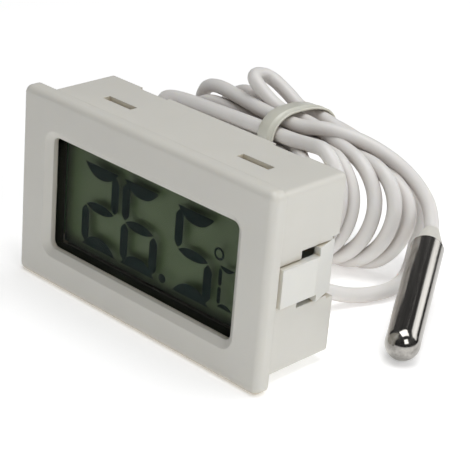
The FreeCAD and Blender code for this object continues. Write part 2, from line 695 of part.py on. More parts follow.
part(tube(LEAD, "cord_lead"), "cord_lead")
part(coil(), "cord_coil")
part(twistTie(), "twist_tie")
part(cordTail(), "cord_tail")
part(sensorWires(), "sensor_wires")
part(cordCollar(), "cord_collar")
probe()


# ---- check and write -------------------------------------------------------------------

doc.recompute()
for thing in doc.Objects:
    if {"Invalid", "Error"} & set(thing.State):
        raise ValueError(f"{thing.Label} failed: {thing.State}")
os.makedirs("parts", exist_ok=True)
for thing in parts:
    shape = thing.Shape
    if shape.isNull() or not shape.isValid() or not shape.Solids:
        raise ValueError(thing.Label + " has no valid solid")
    shape.exportStep(f"parts/{thing.Label}.step")
    b = shape.BoundBox
    print(f"{thing.Label:20s} solids {len(shape.Solids)} volume {shape.Volume:9.2f}  "
          f"x {b.XMin:.2f} {b.XMax:.2f}  y {b.YMin:.2f} {b.YMax:.2f}  z {b.ZMin:.2f} {b.ZMax:.2f}")
print(len(parts), "parts")
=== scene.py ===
import bpy
import numpy as np
from mathutils import Matrix, Vector


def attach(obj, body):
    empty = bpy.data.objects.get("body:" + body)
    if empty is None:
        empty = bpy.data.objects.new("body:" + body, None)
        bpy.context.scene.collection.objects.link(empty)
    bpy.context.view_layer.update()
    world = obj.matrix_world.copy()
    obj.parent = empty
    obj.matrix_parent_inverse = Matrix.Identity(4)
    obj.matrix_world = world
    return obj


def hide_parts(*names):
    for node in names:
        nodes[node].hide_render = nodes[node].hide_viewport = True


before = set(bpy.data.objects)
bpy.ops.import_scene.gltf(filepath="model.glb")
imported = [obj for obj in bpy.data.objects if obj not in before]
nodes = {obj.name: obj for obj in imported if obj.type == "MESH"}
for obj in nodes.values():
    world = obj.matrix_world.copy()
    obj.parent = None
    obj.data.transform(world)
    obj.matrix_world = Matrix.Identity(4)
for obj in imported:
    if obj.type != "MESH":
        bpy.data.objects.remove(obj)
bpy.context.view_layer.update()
scene = bpy.context.scene
mm = 0.001
faceDepth = -8.0  # where the display's face lies along y, in mm
print("model loaded,", len(nodes), "nodes")

view = {
    "place": (141.18, -137.38, 105.51),  # mm, depth counted from the face
    "right": (0.7172, 0.6923, 0.0798),
    "up": (-0.3420, 0.2499, 0.9058),
    "back": (0.6072, -0.6769, 0.4160),
    "lens": 123.87,
}


def makeCamera():
    data = bpy.data.cameras.new("camera")
    data.lens = view["lens"]
    data.sensor_width = 36
    data.clip_start = 0.01
    camera = bpy.data.objects.new("camera", data)
    turned = Matrix((view["right"], view["up"], view["back"])).transposed()
    x, y, z = view["place"]
    camera.matrix_world = Matrix.Translation(Vector((x, y + faceDepth, z)) * mm) @ turned.to_4x4()
    scene.collection.objects.link(camera)
    scene.camera = camera


studio = {
    "floor": 0.93, "floorSize": 6, "floorRoughness": 0.75, "glow": 0.35,
    "sky": 0.08, "skyLow": 0.05, "skyBlue": 1.01, "skyTop": 0.55, "card": 0.01,
    "lamps": [  # name, place, aim, width, height in metres, watts
        ("topLamp", (0.02, 0.05, 0.60), (0, 0.01, 0.01), 0.45, 0.45, 2.5),
        ("sideLamp", (0.17, -0.062, 0.12), (0.01, 0.0, 0.01), 0.08, 0.09, 0.095),
        ("backLamp", (0.25, 0.50, 0.30), (0, 0.02, 0.01), 0.40, 0.30, 0.7),
    ],
    "cards": [  # dark boards that only reflections see: place, aim, width, height
        ("leftCard", (-0.30, -0.55, 0.10), (0.03, 0.02, 0.0), 0.55, 0.40),
        ("rightCard", (0.52, -0.10, 0.16), (0.03, 0.02, 0.0), 0.24, 0.60),
        ("nearCard", (0.26, -0.30, 0.22), (0.03, 0.02, 0.0), 0.16, 0.16),
    ],
}


def aimed(place, target):
    towards = (Vector(target) - Vector(place)).to_track_quat("-Z", "Y")
    return Matrix.Translation(Vector(place)) @ towards.to_matrix().to_4x4()


def flatSheet(name, width, height):
    half = np.array([[-1, -1, 0], [1, -1, 0], [1, 1, 0], [-1, 1, 0]]) * [width / 2, height / 2, 0]
    mesh = bpy.data.meshes.new(name)
    mesh.from_pydata(half.tolist(), [], [(0, 1, 2, 3)])
    sheet = bpy.data.objects.new(name, mesh)
    scene.collection.objects.link(sheet)
    return sheet


def makeStudio():
    world = bpy.data.worlds.new("studio")
    scene.world = world
    world.use_nodes = True
    tree = world.node_tree
    tree.nodes.clear()
    out = tree.nodes.new("ShaderNodeOutputWorld")
    light = tree.nodes.new("ShaderNodeBackground")
    ramp = tree.nodes.new("ShaderNodeValToRGB")
    spread = tree.nodes.new("ShaderNodeSeparateXYZ")
    place = tree.nodes.new("ShaderNodeTexCoord")
    tree.links.new(place.outputs["Generated"], spread.inputs[0])
    tree.links.new(spread.outputs["Z"], ramp.inputs[0])
    tree.links.new(ramp.outputs[0], light.inputs["Color"])
    tree.links.new(light.outputs[0], out.inputs["Surface"])
    low, high = studio["skyLow"], studio["sky"]
    ramp.color_ramp.elements[0].color = (low, low, low, 1)
    ramp.color_ramp.elements[1].color = (high, high, high * studio["skyBlue"], 1)
    ramp.color_ramp.elements[1].position = studio["skyTop"]
    for name, spot, target, width, height, watts in studio["lamps"]:
        data = bpy.data.lights.new(name, "AREA")
        data.shape = "RECTANGLE"
        data.size, data.size_y, data.energy = width, height, watts
        lamp = bpy.data.objects.new(name, data)
        lamp.matrix_world = aimed(spot, target)
        lamp.visible_camera = False
        scene.collection.objects.link(lamp)
    dark = bpy.data.materials.new("darkBoard")
    dark.use_nodes = True
    shade = dark.node_tree.nodes["Principled BSDF"]
    shade.inputs["Base Color"].default_value = (studio["card"],) * 3 + (1,)
    for name, spot, target, width, height in studio["cards"]:
        card = flatSheet(name, width, height)
        card.data.transform(aimed(spot, target))
        card.data.materials.append(dark)
        card.visible_camera = card.visible_shadow = card.visible_diffuse = False
        card.visible_transmission = False
    floor = flatSheet("floor", studio["floorSize"], studio["floorSize"])
    pale = bpy.data.materials.new("paleFloor")
    pale.use_nodes = True
    shade = pale.node_tree.nodes["Principled BSDF"]
    shade.inputs["Base Color"].default_value = (studio["floor"],) * 3 + (1,)
    shade.inputs["Roughness"].default_value = studio["floorRoughness"]
    shade.inputs["Emission Color"].default_value = (1, 1, 1, 1)
    shade.inputs["Emission Strength"].default_value = studio["glow"]
    floor.data.materials.append(pale)
    scene.view_settings.view_transform = "Standard"
    scene.cycles.use_denoising = True


makeCamera()
makeStudio()
print("camera and studio made")

octagon = 0.414  # where an octagon round a circle of 1 has its corners: tangent of 22.5 degrees

cord = {
    "radius": 1.15, "length": 1.0, "floor": 1.15, "exit": (12.4, 15.8, 6.2),
    "tieAcross": -10.0, "tieHalf": 3.0, "steps": 9, "sides": 5,
    # shares of the way between two places where a straight run has its corners
    "climb": 0.45, "run": (0.33, 0.67), "halfway": 0.5,
    "lead": [(12.4, 12.6, 6.2), (12.4, 18.9, 6.2), (12.2, 25.0, 3.6), (14.0, 30.4, 1.35),
             (16.0, 35.6, 1.2), (15.6, 40.6, 1.2), (13.3, 45.4, 1.6), (11.6, 48.4, 4.4),
             (11.8, 49.4, 8.0), (9.6, 49.9, 11.2), (4.6, 50.1, 13.4), (-1.0, 50.2, 15.2)],
    "crossing": [(-17.5, 48.2, 13.0), (-23.0, 42.4, 10.2)],
    # an end is its tip across, its depth at the top and on the floor, its height,
    # how square its shoulder is and how far it leans; a slot is a strand's place in the tie
    "outward": [
        {"left": (-36.0, 31.6, 31.6, 10.6, octagon, 0.0),
         "right": (-1.4, 30.0, 27.2, 13.4, octagon, 0.0), "slot": (38.4, 14.3)},
        {"left": (-36.6, 33.8, 33.8, 11.8, octagon, 0.0),
         "right": (1.2, 32.2, 29.3, 14.6, octagon, 0.2), "slot": (40.6, 12.9)},
        {"left": (-37.6, 36.0, 36.0, 12.2, octagon, 0.0),
         "right": (3.8, 34.3, 31.4, 16.0, octagon, 0.4), "slot": (40.3, 15.3)},
        {"left": (-38.2, 38.2, 38.2, 13.4, octagon, 0.0),
         "right": (6.6, 36.2, 33.2, 19.0, octagon, 1.0), "slot": (38.7, 17.0)},
        {"left": (-37.4, 40.4, 40.4, 15.4, 0.7, 0.0),
         "right": (7.3, 38.4, 35.0, 17.2, octagon, 0.9), "slot": (42.6, 16.0)},
        {"left": (-32.4, 43.2, 42.7, 15.9, 0.6, 0.0),
         "right": (9.8, 40.6, 36.9, 16.9, octagon, 1.0), "slot": (43.6, 18.4)},
    ],
    "fold": [(-16.6, 43.6, 19.6), (-20.8, 43.4, 22.5), (-21.2, 48.2, 21.5), (-16.5, 48.2, 19.6)],
    "homeward": [
        {"slot": (47.6, 18.1), "right": (13.3, 44.6, 40.3, 13.8, octagon, 1.2),
         "left": (-30.9, 48.0, 47.4, 18.0, octagon, 0.0)},
        {"slot": (44.9, 16.2), "right": (12.3, 42.0, 38.5, 16.6, octagon, 1.2),
         "left": (-32.6, 44.9, 45.0, 18.1, 0.7, 0.0)},
    ],
    "leadSlot": (50.2, 16.4), "tailSlot": (41.0, 18.4),
    "carries": ["probe_seal", "probe_sleeve", "probe_filler", "thermistor_bead",
                "thermistor_leads"],
    "tail": [(-3.5, 41.8, 19.4), (2.6, 44.2, 18.7), (7.8, 46.2, 16.5), (11.7, 47.0, 13.9),
             (15.2, 46.4, 11.0), (16.98, 44.25, 8.9)],
}


def halfTurn(end, side):
    # four corners of an octagon round a half circle, top to floor, sheared by the lean
    tip, topDepth, floorDepth, top, shoulder, lean = end
    radius = (top - cord["floor"]) / 2
    up = np.array([1, shoulder, -octagon, -1])
    out = np.array([shoulder, 1, 1, octagon]) * radius - radius
    depth = topDepth + (floorDepth - topDepth) * (1 - up) / 2
    return np.stack([tip + side * out + lean * up, depth, cord["floor"] + radius * (1 + up)], 1)


def between(a, b, *shares):
    a, b = np.asarray(a, float), np.asarray(b, float)
    return np.array([a + (b - a) * share for share in shares])


def throughTie(slot, way):
    # two corners that keep a strand straight inside the tie
    x, reach = cord["tieAcross"], way * cord["tieHalf"]
    return np.array([(x - reach, *slot), (x + reach, *slot)])


def oneTurn(turn, start):
    # from the tie round the left end, along the floor and up round the right end
    left, right = halfTurn(turn["left"], -1), halfTurn(turn["right"], 1)[::-1]
    return np.concatenate([between(start, left[0], cord["climb"]), left,
                           between(left[-1], right[0], *cord["run"]), right])


def cordRoute():
    route = [np.array(cord["lead"]), throughTie(cord["leadSlot"], -1), np.array(cord["crossing"])]
    for number, turn in enumerate(cord["outward"]):
        made = oneTurn(turn, route[-1][-1])
        route.append(made[1:] if number == 0 else made)
        slot = throughTie(turn["slot"], -1)
        route += [between(made[-1], slot[0], cord["halfway"]), slot]
    route.append(np.array(cord["fold"]))
    following = [turn["slot"] for turn in cord["homeward"][1:]] + [cord["tailSlot"]]
    for turn, after in zip(cord["homeward"], following):
        slot = throughTie(turn["slot"], 1)
        made = oneTurn(turn, throughTie(after, 1)[0])[::-1]
        route += [slot, between(slot[-1], made[0], cord["halfway"]), made]
    route += [throughTie(cord["tailSlot"], 1), np.array(cord["tail"])]
    return (np.concatenate(route) + [0, faceDepth, 0]) * mm


def makeCord():
    route = cordRoute()
    data = bpy.data.curves.new("cord", "CURVE")
    data.dimensions = "3D"
    data.resolution_u = cord["steps"]
    data.bevel_depth = 1  # the cord's own radius is on its points, because that also pads its box
    data.bevel_resolution = cord["sides"]
    data.use_fill_caps = True
    line = data.splines.new("NURBS")
    line.points.add(len(route) - 1)
    line.points.foreach_set("co", np.column_stack([route, np.ones(len(route))]).ravel())
    line.points.foreach_set("radius", np.full(len(route), cord["radius"] * mm))
    line.order_u = 3
    line.use_endpoint_u = True
    thing = bpy.data.objects.new("cord", data)
    scene.collection.objects.link(thing)
    return thing, route


cordPiece, cordPoints = makeCord()
print("cord made,", len(cordPoints), "corners")


def gridFaces(rows, columns, closeU=False, closeV=False):
    # the four corner numbers of each cell of a grid that may close on itself either way
    index = np.arange(rows * columns).reshape(rows, columns)
    if closeU:
        index = np.concatenate([index, index[:1]])
    if closeV:
        index = np.concatenate([index, index[:, :1]], 1)
    corners = [index[:-1, :-1], index[1:, :-1], index[1:, 1:], index[:-1, 1:]]
    return np.stack(corners, -1).reshape(-1, 4)


def gridMesh(name, points, closeU=False, closeV=False, smooth=True):
    # points is an array (rows, columns, 3); each cell becomes a four-cornered face
    faces = gridFaces(*points.shape[:2], closeU, closeV)
    return facedMesh(name, points.reshape(-1, 3), faces, smooth)


def facedMesh(name, points, faces, smooth=True):
    mesh = bpy.data.meshes.new(name)
    mesh.vertices.add(len(points))
    mesh.vertices.foreach_set("co", np.asarray(points, float).ravel())
    mesh.loops.add(faces.size)
    mesh.loops.foreach_set("vertex_index", faces.ravel())
    mesh.polygons.add(len(faces))
    mesh.polygons.foreach_set("loop_start", np.arange(len(faces)) * faces.shape[1])
    mesh.update(calc_edges=True)
    mesh.validate()
    mesh.polygons.foreach_set("use_smooth", np.full(len(mesh.polygons), smooth))
    thing = bpy.data.objects.new(name, mesh)
    scene.collection.objects.link(thing)
    return thing


def weldSeams(thing, reach=0.01):
    # corners nearer than reach, in mm, become one
    weld = thing.modifiers.new("weld", "WELD")
    weld.merge_threshold = reach * mm


glassStack = {
    "corner": 0.25, "chamfer": 0.12,
    # half width, low and high edge and depth of each step of the bonded front and rear glass
    "steps": [(18.48, 3.52, 24.48, 1.87), (18.48, 3.52, 24.48, 2.93),
              (18.48, 5.32, 22.68, 2.97), (18.48, 5.32, 22.68, 4.02)],
}


def roundedRing(half, low, high, corner, count=40):
    # a rectangle's outline with round corners, as (x, z) points
    a = (np.arange(count) + 0.5) * 2 * np.pi / count
    x = np.sign(np.cos(a)) * (half - corner) + corner * np.cos(a)
    z = (low + high) / 2 + np.sign(np.sin(a)) * ((high - low) / 2 - corner) + corner * np.sin(a)
    return np.stack([x, z], 1)


def placedRings(rings):
    # outlines in x and z, each put at its own depth
    return np.stack([np.stack([ring[:, 0], np.full(len(ring), depth + faceDepth), ring[:, 1]], 1)
                     for ring, depth in rings]) * mm


def makeGlass():
    # flat faces front and rear with a chamfer round each, and a step between the two sheets
    chamfer, corner = glassStack["chamfer"], glassStack["corner"]
    last = len(glassStack["steps"]) - 1
    rings = []
    for number, (half, low, high, depth) in enumerate(glassStack["steps"]):
        inner = roundedRing(half - chamfer, low + chamfer, high - chamfer, corner)
        outer = roundedRing(half, low, high, corner)
        middle = np.tile([[0, (low + high) / 2]], (len(inner), 1))
        if number == 0:
            rings += [(middle, depth), (inner, depth), (outer, depth + chamfer)]
        elif number == last:
            rings += [(outer, depth - chamfer), (inner, depth), (middle, depth)]
        else:
            rings.append((outer, depth))
    block = gridMesh("lcd_glass_block", placedRings(rings), closeV=True, smooth=False)
    weldSeams(block)
    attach(block, "device")
    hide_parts("lcd_front_glass", "lcd_rear_glass")
    return block


glassBlock = makeGlass()

edgeSealShade = {
    "half": 18.2, "low": 5.4, "high": 22.6, "thick": 0.1, "front": 1.99, "back": 3.92,
    "outerCorner": 0.4, "innerCorner": 0.3,
}


def makeEdgeSealShade():
    # a thin near-black wall round the glass, an edge seal coloured dark as painted shade of the
    # display's edge band: a four-cornered section carried along the rounded outline
    half, low, high, thick = (edgeSealShade[key] for key in ("half", "low", "high", "thick"))
    outer = roundedRing(half + thick, low - thick, high + thick, edgeSealShade["outerCorner"])
    inner = roundedRing(half, low, high, edgeSealShade["innerCorner"])
    front, back = edgeSealShade["front"], edgeSealShade["back"]
    rings = [(outer, front), (outer, back), (inner, back), (inner, front)]
    wall = gridMesh("lcd_edge_seal_shade", placedRings(rings), closeU=True, closeV=True, smooth=False)
    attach(wall, "device")
    return wall


sealShadeWall = makeEdgeSealShade()

display = {
    "depth": 2.9, "thick": 0.03, "digitWidth": 7.3, "digitHeight": 12.6, "foot": 7.4,
    "bar": 1.5, "belly": 1.9, "gap": 0.28,
    # the middle bar's inset and belly as shares of bar and belly,
    # and what an upright loses where it meets a lens
    "inset": 0.55, "middleBelly": 0.4, "shoulder": 0.35,
    # the power that thins a lens to its ends, and how an upright's half width starts and grows
    "taper": 2.4, "tip": 0.12, "slope": 0.9,
    "digits": [(-13.6, "abged"), (-5.6, "afgedc"), (4.8, "afgcd")],
    "point": (3.0, 8.2, 0.66),
    "degree": (13.1, 15.8, 0.75, 0.32),
    "letter": (13.3, 8.3, 2.9, 6.0, 0.62), "letterBelly": 1.1, "letterGap": 0.12, "seam": 0.02,
}


def acrossBar(x0, x1, z, belly, below, above, rows=17):
    # a lens: its thickness is belly * (1 - d ** taper), where d is 0 in the middle and 1 at an end
    s = np.linspace(0, 1, rows)[:, None]
    t = np.linspace(0, 1, 5)[None, :]
    swell = belly * (1 - np.abs(2 * s - 1) ** display["taper"])
    x = x0 + (x1 - x0) * s + 0 * t
    height = z + swell * (above * t - below * (1 - t))
    return np.stack([x, 0 * x, height], -1)


def uprightBar(x, z0, z1, width, rows=15):
    # a bar whose half width grows from a point at each end and then stays the same
    s = np.linspace(0, 1, rows)[:, None]
    t = np.linspace(-1, 1, 5)[None, :]
    z = z0 + (z1 - z0) * s
    grown = np.minimum(z - z0, z1 - z) * display["slope"] + display["tip"]
    half = np.minimum(width / 2, grown)
    return np.stack([x + half * t, 0 * (s + t), z + 0 * t], -1)


def ringBand(x, z, radius, width, rows=28):
    # a flat ring: angle one way, radius the other
    a = np.linspace(0, 2 * np.pi, rows)[:, None]
    r = radius + width * np.linspace(-0.5, 0.5, 3)[None, :]
    return np.stack([x + r * np.cos(a), 0 * (a + r), z + r * np.sin(a)], -1)


def digitBars(left, lit, width, height, foot, bar, belly, gap):
    right, top, middle = left + width, foot + height, foot + height / 2
    inset, shoulder = bar * display["inset"], display["shoulder"]
    nearLeft, nearRight = left + bar / 2, right - bar / 2
    middleBelly = belly * display["middleBelly"]
    shapes = {
        "a": acrossBar(left + gap, right - gap, top, belly, 1.0, 0.0),
        "g": acrossBar(left + inset, right - inset, middle, middleBelly, 1.0, 1.0),
        "d": acrossBar(left + gap, right - gap, foot, belly, 0.0, 1.0),
        "f": uprightBar(nearLeft, middle + gap, top - gap - shoulder, bar),
        "b": uprightBar(nearRight, middle + gap, top - gap - shoulder, bar),
        "e": uprightBar(nearLeft, foot + gap + shoulder, middle - gap, bar),
        "c": uprightBar(nearRight, foot + gap + shoulder, middle - gap, bar),
    }
    return [shapes[key] for key in lit]


def makeDigits():
    d = display
    common = [d[key] for key in ("digitWidth", "digitHeight", "foot", "bar", "belly", "gap")]
    bars = []
    for left, lit in d["digits"]:
        bars += digitBars(left, lit, *common)
    x, z, across = d["point"]
    bars.append(ringBand(x, z, across / 2, across))
    bars.append(ringBand(*d["degree"]))
    left, foot, width, height, thick = d["letter"]
    belly = thick * d["letterBelly"]
    bars += digitBars(left, "afed", width, height, foot, thick, belly, d["letterGap"])
    points, faces, count = [], [], 0
    for bar in bars:
        faces.append(gridFaces(*bar.shape[:2]) + count)
        points.append(bar.reshape(-1, 3))
        count += len(points[-1])
    points = (np.concatenate(points) + [0, d["depth"] + faceDepth, 0]) * mm
    piece = facedMesh("lcd_digits", points, np.concatenate(faces), False)
    weldSeams(piece, d["seam"])
    shell = piece.modifiers.new("thickness", "SOLIDIFY")
    shell.thickness = d["thick"] * mm
    shell.offset = 0
    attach(piece, "device")
    return piece


digits = makeDigits()
print("display segments made")

tie = {
    "across": -10.4, "width": 3.3, "lift": 0.28, "rib": 0.42, "bevel": 0.1,
    # how far a rib's arc turns each way as a share of a half turn, and its number of points
    "ribArc": 0.75, "ribPoints": 11,
    # the ridge just right of the middle: its points across, and its top as a share of the rib
    "ridge": (0.05, 0.2, 0.4, 0.6, 0.75), "ridgeTop": 0.62,
    # round the bundle: depth and height of the band's middle, and how far it shifts across
    "loop": [(36.75, 15.4, -0.35), (37.3, 18.2, -0.5), (39.6, 20.0, -0.35), (42.9, 20.35, 0.0),
             (46.4, 20.1, 0.3), (49.3, 19.0, 0.55), (51.2, 16.4, 0.6), (50.6, 14.6, 0.4),
             (47.4, 14.3, 0.1), (43.6, 12.2, 0.0), (40.6, 11.3, 0.0), (37.6, 12.5, -0.2)],
    "loopPoints": 160,
    # the twisted ends: length down, turns, place, half width and half thickness of each,
    # how far each is from their common middle at the end, and at the start as a share of that
    "tailLong": 5.5, "tailTurns": 2.5, "tailFrom": (44.9, 13.0), "tailWide": 0.85, "tailThin": 0.3,
    "tailApart": 0.5, "tailStart": 0.4, "tailRows": 70, "tailSides": 12,
}


def smoothLoop(points, count):
    # a closed quadratic B-spline through the middles of the corner list
    p = np.asarray(points, float)
    t = np.linspace(0, len(p), count, endpoint=False)
    i = t.astype(int)
    f = (t - i)[:, None]
    a, b, c = p[i % len(p)], p[(i + 1) % len(p)], p[(i + 2) % len(p)]
    return 0.5 * (1 - f) ** 2 * a + (0.5 + f * (1 - f)) * b + 0.5 * f ** 2 * c


def makeTie():
    path = smoothLoop(tie["loop"], tie["loopPoints"])
    depth, height, shift = path.T
    along = np.roll(path, -1, 0) - np.roll(path, 1, 0)
    out = np.stack([along[:, 1], -along[:, 0]], 1)
    out /= np.linalg.norm(out, axis=1)[:, None]
    out *= np.sign(np.sum(out * (path[:, :2] - path[:, :2].mean(0)), 1))[:, None]
    half, thin, rib, bevel = tie["width"] / 2, tie["lift"] / 2, tie["rib"], tie["bevel"]
    # the band's section: across, and out from the bundle; a round wire rib along its right edge
    a = np.linspace(-tie["ribArc"] * np.pi, tie["ribArc"] * np.pi, tie["ribPoints"])
    rightRib = np.stack([half - rib / 2 + rib / 2 * np.cos(a), rib / 2 * np.sin(a)], 1)
    ridge = list(zip(tie["ridge"], (thin, rib / 2, rib * tie["ridgeTop"], rib / 2, thin)))
    leftEdge = [(-half + bevel, -thin), (-half, 0.0), (-half + bevel, thin)]
    section = np.concatenate([[(half - rib, -thin), (0.0, -thin)], leftEdge,
                              ridge, [(half - rib, thin)], rightRib[::-1]])
    x = tie["across"] + shift[:, None] + section[:, 0][None, :]
    y = depth[:, None] + out[:, :1] * section[:, 1][None, :]
    z = height[:, None] + out[:, 1:] * section[:, 1][None, :]
    points = np.stack([x, y + faceDepth, z], -1) * mm
    return gridMesh("tie_band", points, closeU=True, closeV=True)


tieBand = makeTie()


def makeTieTail():
    # two flat ends wound round each other: a helix each, half a turn apart
    t = np.linspace(0, 1, tie["tailRows"])
    sides = tie["tailSides"]
    section = np.linspace(0, 2 * np.pi, sides, endpoint=False)[None, :, None]
    y0, z0 = tie["tailFrom"]
    spread = tie["tailStart"] + (1 - tie["tailStart"]) * t
    pieces = []
    for half in (0, np.pi):
        turn = 2 * np.pi * tie["tailTurns"] * t + half
        cx = tie["tailApart"] * np.cos(turn) * spread
        cy = tie["tailApart"] * np.sin(turn) * spread
        u = np.stack([-np.sin(turn), np.cos(turn)], 1)[:, None, :]
        v = np.stack([np.cos(turn), np.sin(turn)], 1)[:, None, :]
        across = tie["tailWide"] * np.cos(section) * u + tie["tailThin"] * np.sin(section) * v
        x = tie["across"] + cx[:, None] + across[..., 0]
        y = y0 + cy[:, None] + across[..., 1]
        z = z0 - tie["tailLong"] * t[:, None] + 0 * x
        grid = np.stack([x, y + faceDepth, z], -1)
        first, last = grid[:1].mean(1, keepdims=True), grid[-1:].mean(1, keepdims=True)
        grid = np.concatenate([np.repeat(first, sides, 1), grid, np.repeat(last, sides, 1)])
        pieces.append(grid * mm)
    # the corners are taken the other way round, so that the faces look outwards
    faces = gridFaces(len(pieces[0]), sides, closeV=True)[:, [0, 3, 2, 1]]
    points = np.concatenate([piece.reshape(-1, 3) for piece in pieces])
    tail = facedMesh("tie_twist", points, np.concatenate([faces, faces + len(points) // 2]))
    weldSeams(tail)
    return tail


tieTwist = makeTieTail()
for piece in (tieBand, tieTwist):
    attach(piece, "device")
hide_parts("twist_tie")
print("tie made")

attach(cordPiece, "device")
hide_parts("cord_lead", "cord_coil", "cord_tail")


def addNode(tree, kind, **settings):
    node = tree.nodes.new(kind)
    for key, value in settings.items():
        if hasattr(node, key):
            setattr(node, key, value)
        else:
            node.inputs[key].default_value = value
    return node


def newGroup(name, inputs, outputs):
    group = bpy.data.node_groups.new(name, "ShaderNodeTree")
    for label, kind, value in inputs:
        socket = group.interface.new_socket(label, in_out="INPUT", socket_type="NodeSocket" + kind)
        socket.default_value = value
    for label, kind in outputs:
        group.interface.new_socket(label, in_out="OUTPUT", socket_type="NodeSocket" + kind)
    return group, group.nodes.new("NodeGroupInput"), group.nodes.new("NodeGroupOutput")


def fill(tree, sockets, values):
    # a value that is another node's output is linked, and any other is written in
    for socket, value in zip(sockets, values):
        if hasattr(value, "links"):
            tree.links.new(value, socket)
        else:
            socket.default_value = value


def combine(tree, operation, *values):
    node = addNode(tree, "ShaderNodeMath", operation=operation)
    fill(tree, node.inputs, values)
    return node.outputs[0]


def scaled(tree, colour, amount):
    node = addNode(tree, "ShaderNodeVectorMath", operation="SCALE")
    fill(tree, (node.inputs[0], node.inputs["Scale"]), (colour, amount))
    return node.outputs[0]


def mixColour(tree, amount, a, b):
    node = addNode(tree, "ShaderNodeMix", data_type="RGBA")
    fill(tree, (node.inputs[0], node.inputs[6], node.inputs[7]), (amount, a, b))
    return node.outputs[2]


def makeMouldedGroup():
    # colour drifts by a soft cloud, takes painted shade in creases (mixed towards a tint), and a
    # fine
    # grain lifts the surface: colour * (1 + 2 drift (cloud - half)), roughness + roughDrift (cloud
    # - half)
    roughDrift, samples = 0.12, 6
    group, given, result = newGroup(
        "mouldedSkin",
        [("Colour", "Color", (0.8, 0.8, 0.8, 1)), ("Painted crease shade", "Color", (0.4, 0.3, 0.2, 1)),
         ("Crease reach", "Float", 0.001), ("Crease strength", "Float", 0.6),
         ("Drift", "Float", 0.04), ("Cloud size", "Float", 120.0), ("Grain size", "Float", 5000.0),
         ("Grain depth", "Float", 0.00001), ("Roughness", "Float", 0.4),
         ("Edge round", "Float", 0.00015)],
        [("Colour", "Color"), ("Roughness", "Float"), ("Normal", "Vector")])
    place = group.nodes.new("ShaderNodeTexCoord")
    cloud = addNode(group, "ShaderNodeTexNoise", Detail=3.0)
    grain = addNode(group, "ShaderNodeTexNoise", Detail=2.0)
    for noise, size in ((cloud, "Cloud size"), (grain, "Grain size")):
        group.links.new(place.outputs["Object"], noise.inputs["Vector"])
        group.links.new(given.outputs[size], noise.inputs["Scale"])
    uneven = combine(group, "SUBTRACT", cloud.outputs["Fac"], 0.5)
    drift = combine(group, "MULTIPLY", uneven, given.outputs["Drift"])
    bright = combine(group, "ADD", combine(group, "MULTIPLY", drift, 2.0), 1.0)
    tone = scaled(group, given.outputs["Colour"], bright)
    # painted shade: where ambient occlusion finds the surface hidden, the colour is mixed towards
    # the crease tint
    crease = addNode(group, "ShaderNodeAmbientOcclusion", samples=samples)
    group.links.new(given.outputs["Crease reach"], crease.inputs["Distance"])
    hidden = combine(group, "SUBTRACT", 1.0, crease.outputs["AO"])
    depth = combine(group, "MULTIPLY", hidden, given.outputs["Crease strength"])
    creaseShaded = mixColour(group, depth, tone, given.outputs["Painted crease shade"])
    more = combine(group, "MULTIPLY", uneven, roughDrift)
    rough = combine(group, "ADD", given.outputs["Roughness"], more)
    edge = addNode(group, "ShaderNodeBevel", samples=samples)
    group.links.new(given.outputs["Edge round"], edge.inputs["Radius"])
    bump = group.nodes.new("ShaderNodeBump")
    group.links.new(grain.outputs["Fac"], bump.inputs["Height"])
    group.links.new(given.outputs["Grain depth"], bump.inputs["Distance"])
    group.links.new(edge.outputs[0], bump.inputs["Normal"])
    group.links.new(creaseShaded, result.inputs["Colour"])
    group.links.new(rough, result.inputs["Roughness"])
    group.links.new(bump.outputs[0], result.inputs["Normal"])
    return group


mouldedSkin = makeMouldedGroup()


soft = {"scale": 0.0012, "radius": (1.0, 0.85, 0.6)}  # how far light goes into the plastic
skinInputs = {
    "crease": "Painted crease shade", "reach": "Crease reach", "strength": "Crease strength",
    "drift": "Drift", "cloud": "Cloud size", "grain": "Grain size", "grainDepth": "Grain depth",
    "roughness": "Roughness", "edge": "Edge round",
}


def finish(name, colour, metallic=0.0, coat=0.0, subsurface=0.0, specular=0.5, **skin):
    material = bpy.data.materials.new(name)
    material.use_nodes = True
    tree = material.node_tree
    shade = tree.nodes["Principled BSDF"]
    group = tree.nodes.new("ShaderNodeGroup")
    group.node_tree = mouldedSkin
    group.inputs["Colour"].default_value = (*colour, 1)
    for key, value in skin.items():
        group.inputs[skinInputs[key]].default_value = (*value, 1) if key == "crease" else value
    tree.links.new(group.outputs["Colour"], shade.inputs["Base Color"])
    tree.links.new(group.outputs["Roughness"], shade.inputs["Roughness"])
    tree.links.new(group.outputs["Normal"], shade.inputs["Normal"])
    shade.inputs["Metallic"].default_value = metallic
    shade.inputs["Coat Weight"].default_value = coat
    shade.inputs["Specular IOR Level"].default_value = specular
    shade.inputs["Subsurface Weight"].default_value = subsurface
    shade.inputs["Subsurface Scale"].default_value = soft["scale"]
    shade.inputs["Subsurface Radius"].default_value = soft["radius"]
    return material


